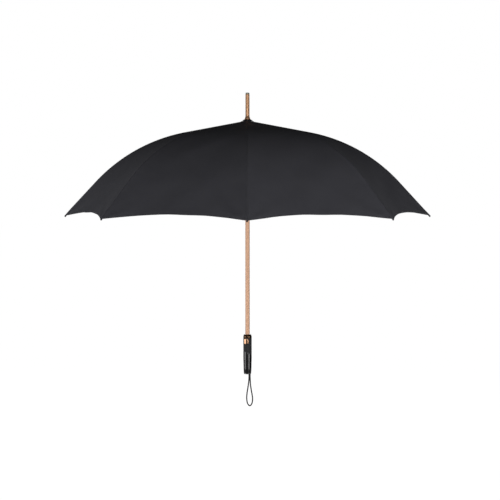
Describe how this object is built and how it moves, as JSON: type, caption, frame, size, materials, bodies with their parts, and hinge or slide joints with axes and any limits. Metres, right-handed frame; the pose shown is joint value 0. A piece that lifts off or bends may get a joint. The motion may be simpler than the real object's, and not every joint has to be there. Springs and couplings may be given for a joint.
{
  "type": "stick umbrella",
  "caption": "Long stick umbrella with a folding rib frame, a scalloped cloth canopy, a metal shaft and ferrule, and a straight handle with a push button and wrist cord.",
  "frame": {"origin": "on the shaft axis at the middle of the handle", "axes": "+Z along the shaft towards the ferrule, +X along the first rib, -Y along the rib that faces the front; the push button is turned 25 degrees from -Y towards -X"},
  "size_m": [1.1706, 1.1706, 1.006],
  "materials": {
    "shaft": "polished",
    "ferrule": "satin",
    "tip": "satin",
    "cap": "gloss",
    "cloth": "satin",
    "notch": "satin",
    "wire": "satin",
    "rib": "satin",
    "stretcher": "satin",
    "button": "polished",
    "soft_grip": "matte",
    "gloss_grip": "gloss",
    "steel": "satin",
    "cord": "matte"
  },
  "bodies": {
    "shaft_and_handle": {"shaft": "shaft", "ferrule": "ferrule", "ferrule_tip": "tip", "canopy_cap": "cap", "top_rosette": "cloth", "crown": "notch", "crown_wire": "wire", "grip_upper": "soft_grip", "grip_lower": "gloss_grip", "handle_collar": "gloss_grip", "grip_end_cap": "gloss_grip", "handle_pins": "steel", "wrist_cord": "cord", "button_spring": "steel", "opening_spring": "steel"},
    "runner": {"runner": "notch", "runner_wire": "wire"},
    "spring_seat": {"spring_seat": "notch"},
    "push_button": {"push_button": "button"},
    "latch": {"latch": "steel"},
    "rib_inner_1": {"rib_inner_1": "rib"},
    "rib_outer_1": {"rib_outer_1": "rib"},
    "stretcher_1": {"stretcher_1": "stretcher"},
    "gore_inner_1": {"gore_inner_1": "cloth"},
    "gore_outer_1": {"gore_outer_1": "cloth"},
    "rib_inner_2": {"rib_inner_2": "rib"},
    "rib_outer_2": {"rib_outer_2": "rib"},
    "stretcher_2": {"stretcher_2": "stretcher"},
    "gore_inner_2": {"gore_inner_2": "cloth"},
    "gore_outer_2": {"gore_outer_2": "cloth"},
    "rib_inner_3": {"rib_inner_3": "rib"},
    "rib_outer_3": {"rib_outer_3": "rib"},
    "stretcher_3": {"stretcher_3": "stretcher"},
    "gore_inner_3": {"gore_inner_3": "cloth"},
    "gore_outer_3": {"gore_outer_3": "cloth"},
    "rib_inner_4": {"rib_inner_4": "rib"},
    "rib_outer_4": {"rib_outer_4": "rib"},
    "stretcher_4": {"stretcher_4": "stretcher"},
    "gore_inner_4": {"gore_inner_4": "cloth"},
    "gore_outer_4": {"gore_outer_4": "cloth"},
    "rib_inner_5": {"rib_inner_5": "rib"},
    "rib_outer_5": {"rib_outer_5": "rib"},
    "stretcher_5": {"stretcher_5": "stretcher"},
    "gore_inner_5": {"gore_inner_5": "cloth"},
    "gore_outer_5": {"gore_outer_5": "cloth"},
    "rib_inner_6": {"rib_inner_6": "rib"},
    "rib_outer_6": {"rib_outer_6": "rib"},
    "stretcher_6": {"stretcher_6": "stretcher"},
    "gore_inner_6": {"gore_inner_6": "cloth"},
    "gore_outer_6": {"gore_outer_6": "cloth"},
    "rib_inner_7": {"rib_inner_7": "rib"},
    "rib_outer_7": {"rib_outer_7": "rib"},
    "stretcher_7": {"stretcher_7": "stretcher"},
    "gore_inner_7": {"gore_inner_7": "cloth"},
    "gore_outer_7": {"gore_outer_7": "cloth"},
    "rib_inner_8": {"rib_inner_8": "rib"},
    "rib_outer_8": {"rib_outer_8": "rib"},
    "stretcher_8": {"stretcher_8": "stretcher"},
    "gore_inner_8": {"gore_inner_8": "cloth"},
    "gore_outer_8": {"gore_outer_8": "cloth"}
  },
  "joints": [
    {"name": "fold", "type": "hinge", "parent": "shaft_and_handle", "child": "rib_inner_1", "pos_m": [0.011, 0, 0.7365], "axis": [0, 1, 0], "range_deg": [0, 76.2], "stiffness_Nm_per_rad": 0.9, "springref_deg": -68.75, "deforming": ["gore_inner_1", "gore_outer_1", "gore_inner_2", "gore_outer_2", "gore_inner_3", "gore_outer_3", "gore_inner_4", "gore_outer_4", "gore_inner_5", "gore_outer_5", "gore_inner_6", "gore_outer_6", "gore_inner_7", "gore_outer_7", "gore_inner_8", "gore_outer_8"]},
    {"name": "stretch_1", "type": "hinge", "parent": "rib_inner_1", "child": "stretcher_1", "pos_m": [0.3016, 0, 0.67048], "axis": [0, 1, 0], "range_deg": [-152.41, 0]},
    {"name": "straighten_1", "type": "hinge", "parent": "rib_inner_1", "child": "rib_outer_1", "pos_m": [0.30944, 0, 0.67365], "axis": [0, 1, 0], "range_deg": [-26.05, 0]},
    {"name": "gather_1", "type": "hinge", "parent": "shaft_and_handle", "child": "gore_inner_1", "pos_m": [0.00939, 0.00389, 0.7365], "axis": [-0.3827, 0.9239, 0], "range_deg": [0, 75.36]},
    {"name": "drape_1", "type": "hinge", "parent": "gore_inner_1", "child": "gore_outer_1", "pos_m": [0.26526, 0.10988, 0.67672], "axis": [-0.3827, 0.9239, 0], "range_deg": [-28.62, 0]},
    {"name": "fold_2", "type": "hinge", "parent": "shaft_and_handle", "child": "rib_inner_2", "pos_m": [0.00778, 0.00778, 0.7365], "axis": [-0.7071, 0.7071, 0], "range_deg": [0, 76.2]},
    {"name": "stretch_2", "type": "hinge", "parent": "rib_inner_2", "child": "stretcher_2", "pos_m": [0.21326, 0.21326, 0.67048], "axis": [-0.7071, 0.7071, 0], "range_deg": [-152.41, 0]},
    {"name": "straighten_2", "type": "hinge", "parent": "rib_inner_2", "child": "rib_outer_2", "pos_m": [0.21881, 0.21881, 0.67365], "axis": [-0.7071, 0.7071, 0], "range_deg": [-26.05, 0]},
    {"name": "gather_2", "type": "hinge", "parent": "shaft_and_handle", "child": "gore_inner_2", "pos_m": [0.00389, 0.00939, 0.7365], "axis": [-0.9239, 0.3827, 0], "range_deg": [0, 75.36]},
    {"name": "drape_2", "type": "hinge", "parent": "gore_inner_2", "child": "gore_outer_2", "pos_m": [0.10988, 0.26526, 0.67672], "axis": [-0.9239, 0.3827, 0], "range_deg": [-28.62, 0]},
    {"name": "fold_3", "type": "hinge", "parent": "shaft_and_handle", "child": "rib_inner_3", "pos_m": [0, 0.011, 0.7365], "axis": [-1, 0, 0], "range_deg": [0, 76.2]},
    {"name": "stretch_3", "type": "hinge", "parent": "rib_inner_3", "child": "stretcher_3", "pos_m": [0, 0.3016, 0.67048], "axis": [-1, 0, 0], "range_deg": [-152.41, 0]},
    {"name": "straighten_3", "type": "hinge", "parent": "rib_inner_3", "child": "rib_outer_3", "pos_m": [0, 0.30944, 0.67365], "axis": [-1, 0, 0], "range_deg": [-26.05, 0]},
    {"name": "gather_3", "type": "hinge", "parent": "shaft_and_handle", "child": "gore_inner_3", "pos_m": [-0.00389, 0.00939, 0.7365], "axis": [-0.9239, -0.3827, 0], "range_deg": [0, 75.36]},
    {"name": "drape_3", "type": "hinge", "parent": "gore_inner_3", "child": "gore_outer_3", "pos_m": [-0.10988, 0.26526, 0.67672], "axis": [-0.9239, -0.3827, 0], "range_deg": [-28.62, 0]},
    {"name": "fold_4", "type": "hinge", "parent": "shaft_and_handle", "child": "rib_inner_4", "pos_m": [-0.00778, 0.00778, 0.7365], "axis": [-0.7071, -0.7071, 0], "range_deg": [0, 76.2]},
    {"name": "stretch_4", "type": "hinge", "parent": "rib_inner_4", "child": "stretcher_4", "pos_m": [-0.21326, 0.21326, 0.67048], "axis": [-0.7071, -0.7071, 0], "range_deg": [-152.41, 0]},
    {"name": "straighten_4", "type": "hinge", "parent": "rib_inner_4", "child": "rib_outer_4", "pos_m": [-0.21881, 0.21881, 0.67365], "axis": [-0.7071, -0.7071, 0], "range_deg": [-26.05, 0]},
    {"name": "gather_4", "type": "hinge", "parent": "shaft_and_handle", "child": "gore_inner_4", "pos_m": [-0.00939, 0.00389, 0.7365], "axis": [-0.3827, -0.9239, 0], "range_deg": [0, 75.36]},
    {"name": "drape_4", "type": "hinge", "parent": "gore_inner_4", "child": "gore_outer_4", "pos_m": [-0.26526, 0.10988, 0.67672], "axis": [-0.3827, -0.9239, 0], "range_deg": [-28.62, 0]},
    {"name": "fold_5", "type": "hinge", "parent": "shaft_and_handle", "child": "rib_inner_5", "pos_m": [-0.011, 0, 0.7365], "axis": [0, -1, 0], "range_deg": [0, 76.2]},
    {"name": "stretch_5", "type": "hinge", "parent": "rib_inner_5", "child": "stretcher_5", "pos_m": [-0.3016, 0, 0.67048], "axis": [0, -1, 0], "range_deg": [-152.41, 0]},
    {"name": "straighten_5", "type": "hinge", "parent": "rib_inner_5", "child": "rib_outer_5", "pos_m": [-0.30944, 0, 0.67365], "axis": [0, -1, 0], "range_deg": [-26.05, 0]},
    {"name": "gather_5", "type": "hinge", "parent": "shaft_and_handle", "child": "gore_inner_5", "pos_m": [-0.00939, -0.00389, 0.7365], "axis": [0.3827, -0.9239, 0], "range_deg": [0, 75.36]},
    {"name": "drape_5", "type": "hinge", "parent": "gore_inner_5", "child": "gore_outer_5", "pos_m": [-0.26526, -0.10988, 0.67672], "axis": [0.3827, -0.9239, 0], "range_deg": [-28.62, 0]},
    {"name": "fold_6", "type": "hinge", "parent": "shaft_and_handle", "child": "rib_inner_6", "pos_m": [-0.00778, -0.00778, 0.7365], "axis": [0.7071, -0.7071, 0], "range_deg": [0, 76.2]},
    {"name": "stretch_6", "type": "hinge", "parent": "rib_inner_6", "child": "stretcher_6", "pos_m": [-0.21326, -0.21326, 0.67048], "axis": [0.7071, -0.7071, 0], "range_deg": [-152.41, 0]},
    {"name": "straighten_6", "type": "hinge", "parent": "rib_inner_6", "child": "rib_outer_6", "pos_m": [-0.21881, -0.21881, 0.67365], "axis": [0.7071, -0.7071, 0], "range_deg": [-26.05, 0]},
    {"name": "gather_6", "type": "hinge", "parent": "shaft_and_handle", "child": "gore_inner_6", "pos_m": [-0.00389, -0.00939, 0.7365], "axis": [0.9239, -0.3827, 0], "range_deg": [0, 75.36]},
    {"name": "drape_6", "type": "hinge", "parent": "gore_inner_6", "child": "gore_outer_6", "pos_m": [-0.10988, -0.26526, 0.67672], "axis": [0.9239, -0.3827, 0], "range_deg": [-28.62, 0]},
    {"name": "fold_7", "type": "hinge", "parent": "shaft_and_handle", "child": "rib_inner_7", "pos_m": [0, -0.011, 0.7365], "axis": [1, 0, 0], "range_deg": [0, 76.2]},
    {"name": "stretch_7", "type": "hinge", "parent": "rib_inner_7", "child": "stretcher_7", "pos_m": [0, -0.3016, 0.67048], "axis": [1, 0, 0], "range_deg": [-152.41, 0]},
    {"name": "straighten_7", "type": "hinge", "parent": "rib_inner_7", "child": "rib_outer_7", "pos_m": [0, -0.30944, 0.67365], "axis": [1, 0, 0], "range_deg": [-26.05, 0]},
    {"name": "gather_7", "type": "hinge", "parent": "shaft_and_handle", "child": "gore_inner_7", "pos_m": [0.00389, -0.00939, 0.7365], "axis": [0.9239, 0.3827, 0], "range_deg": [0, 75.36]},
    {"name": "drape_7", "type": "hinge", "parent": "gore_inner_7", "child": "gore_outer_7", "pos_m": [0.10988, -0.26526, 0.67672], "axis": [0.9239, 0.3827, 0], "range_deg": [-28.62, 0]},
    {"name": "fold_8", "type": "hinge", "parent": "shaft_and_handle", "child": "rib_inner_8", "pos_m": [0.00778, -0.00778, 0.7365], "axis": [0.7071, 0.7071, 0], "range_deg": [0, 76.2]},
    {"name": "stretch_8", "type": "hinge", "parent": "rib_inner_8", "child": "stretcher_8", "pos_m": [0.21326, -0.21326, 0.67048], "axis": [0.7071, 0.7071, 0], "range_deg": [-152.41, 0]},
    {"name": "straighten_8", "type": "hinge", "parent": "rib_inner_8", "child": "rib_outer_8", "pos_m": [0.21881, -0.21881, 0.67365], "axis": [0.7071, 0.7071, 0], "range_deg": [-26.05, 0]},
    {"name": "gather_8", "type": "hinge", "parent": "shaft_and_handle", "child": "gore_inner_8", "pos_m": [0.00939, -0.00389, 0.7365], "axis": [0.3827, 0.9239, 0], "range_deg": [0, 75.36]},
    {"name": "drape_8", "type": "hinge", "parent": "gore_inner_8", "child": "gore_outer_8", "pos_m": [0.26526, -0.10988, 0.67672], "axis": [0.3827, 0.9239, 0], "range_deg": [-28.62, 0]},
    {"name": "runner_slide", "type": "hinge", "parent": "stretcher_1", "child": "runner", "pos_m": [0.011, 0, 0.60445], "axis": [0, 1, 0], "range_deg": [0, 76.21]},
    {"name": "spring_stretch", "type": "slide", "parent": "shaft_and_handle", "child": "spring_seat", "axis": [0, 0, -1], "range_m": [0, 0.46397], "deforming": ["opening_spring"]},
    {"name": "press", "type": "slide", "parent": "shaft_and_handle", "child": "push_button", "axis": [0.4226, 0.9063, 0], "range_m": [0, 0.0024], "stiffness_N_per_m": 900, "springref_m": -0.0012, "deforming": ["button_spring"]},
    {"name": "latch_rock", "type": "hinge", "parent": "shaft_and_handle", "child": "latch", "pos_m": [0, 0, 0.057], "axis": [0.9063, -0.4226, 0], "range_deg": [0, 9.1]}
  ],
  "couplings": [
    {"joint": "stretch_1", "follows": "fold", "ratio": -2},
    {"joint": "straighten_1", "follows": "fold", "ratio": -0.34125},
    {"joint": "gather_1", "follows": "fold", "ratio": 0.98826},
    {"joint": "drape_1", "follows": "fold", "ratio": -0.37499},
    {"joint": "fold_2", "follows": "fold", "ratio": 1},
    {"joint": "stretch_2", "follows": "fold", "ratio": -2},
    {"joint": "straighten_2", "follows": "fold", "ratio": -0.34125},
    {"joint": "gather_2", "follows": "fold", "ratio": 0.98826},
    {"joint": "drape_2", "follows": "fold", "ratio": -0.37499},
    {"joint": "fold_3", "follows": "fold", "ratio": 1},
    {"joint": "stretch_3", "follows": "fold", "ratio": -2},
    {"joint": "straighten_3", "follows": "fold", "ratio": -0.34125},
    {"joint": "gather_3", "follows": "fold", "ratio": 0.98826},
    {"joint": "drape_3", "follows": "fold", "ratio": -0.37499},
    {"joint": "fold_4", "follows": "fold", "ratio": 1},
    {"joint": "stretch_4", "follows": "fold", "ratio": -2},
    {"joint": "straighten_4", "follows": "fold", "ratio": -0.34125},
    {"joint": "gather_4", "follows": "fold", "ratio": 0.98826},
    {"joint": "drape_4", "follows": "fold", "ratio": -0.37499},
    {"joint": "fold_5", "follows": "fold", "ratio": 1},
    {"joint": "stretch_5", "follows": "fold", "ratio": -2},
    {"joint": "straighten_5", "follows": "fold", "ratio": -0.34125},
    {"joint": "gather_5", "follows": "fold", "ratio": 0.98826},
    {"joint": "drape_5", "follows": "fold", "ratio": -0.37499},
    {"joint": "fold_6", "follows": "fold", "ratio": 1},
    {"joint": "stretch_6", "follows": "fold", "ratio": -2},
    {"joint": "straighten_6", "follows": "fold", "ratio": -0.34125},
    {"joint": "gather_6", "follows": "fold", "ratio": 0.98826},
    {"joint": "drape_6", "follows": "fold", "ratio": -0.37499},
    {"joint": "fold_7", "follows": "fold", "ratio": 1},
    {"joint": "stretch_7", "follows": "fold", "ratio": -2},
    {"joint": "straighten_7", "follows": "fold", "ratio": -0.34125},
    {"joint": "gather_7", "follows": "fold", "ratio": 0.98826},
    {"joint": "drape_7", "follows": "fold", "ratio": -0.37499},
    {"joint": "fold_8", "follows": "fold", "ratio": 1},
    {"joint": "stretch_8", "follows": "fold", "ratio": -2},
    {"joint": "straighten_8", "follows": "fold", "ratio": -0.34125},
    {"joint": "gather_8", "follows": "fold", "ratio": 0.98826},
    {"joint": "drape_8", "follows": "fold", "ratio": -0.37499},
    {"joint": "runner_slide", "follows": "fold", "ratio": 1},
    {"joint": "spring_stretch", "follows": "fold", "m_per_rad": 0.34879},
    {"joint": "latch_rock", "follows": "press", "rad_per_m": 66.106}
  ]
}
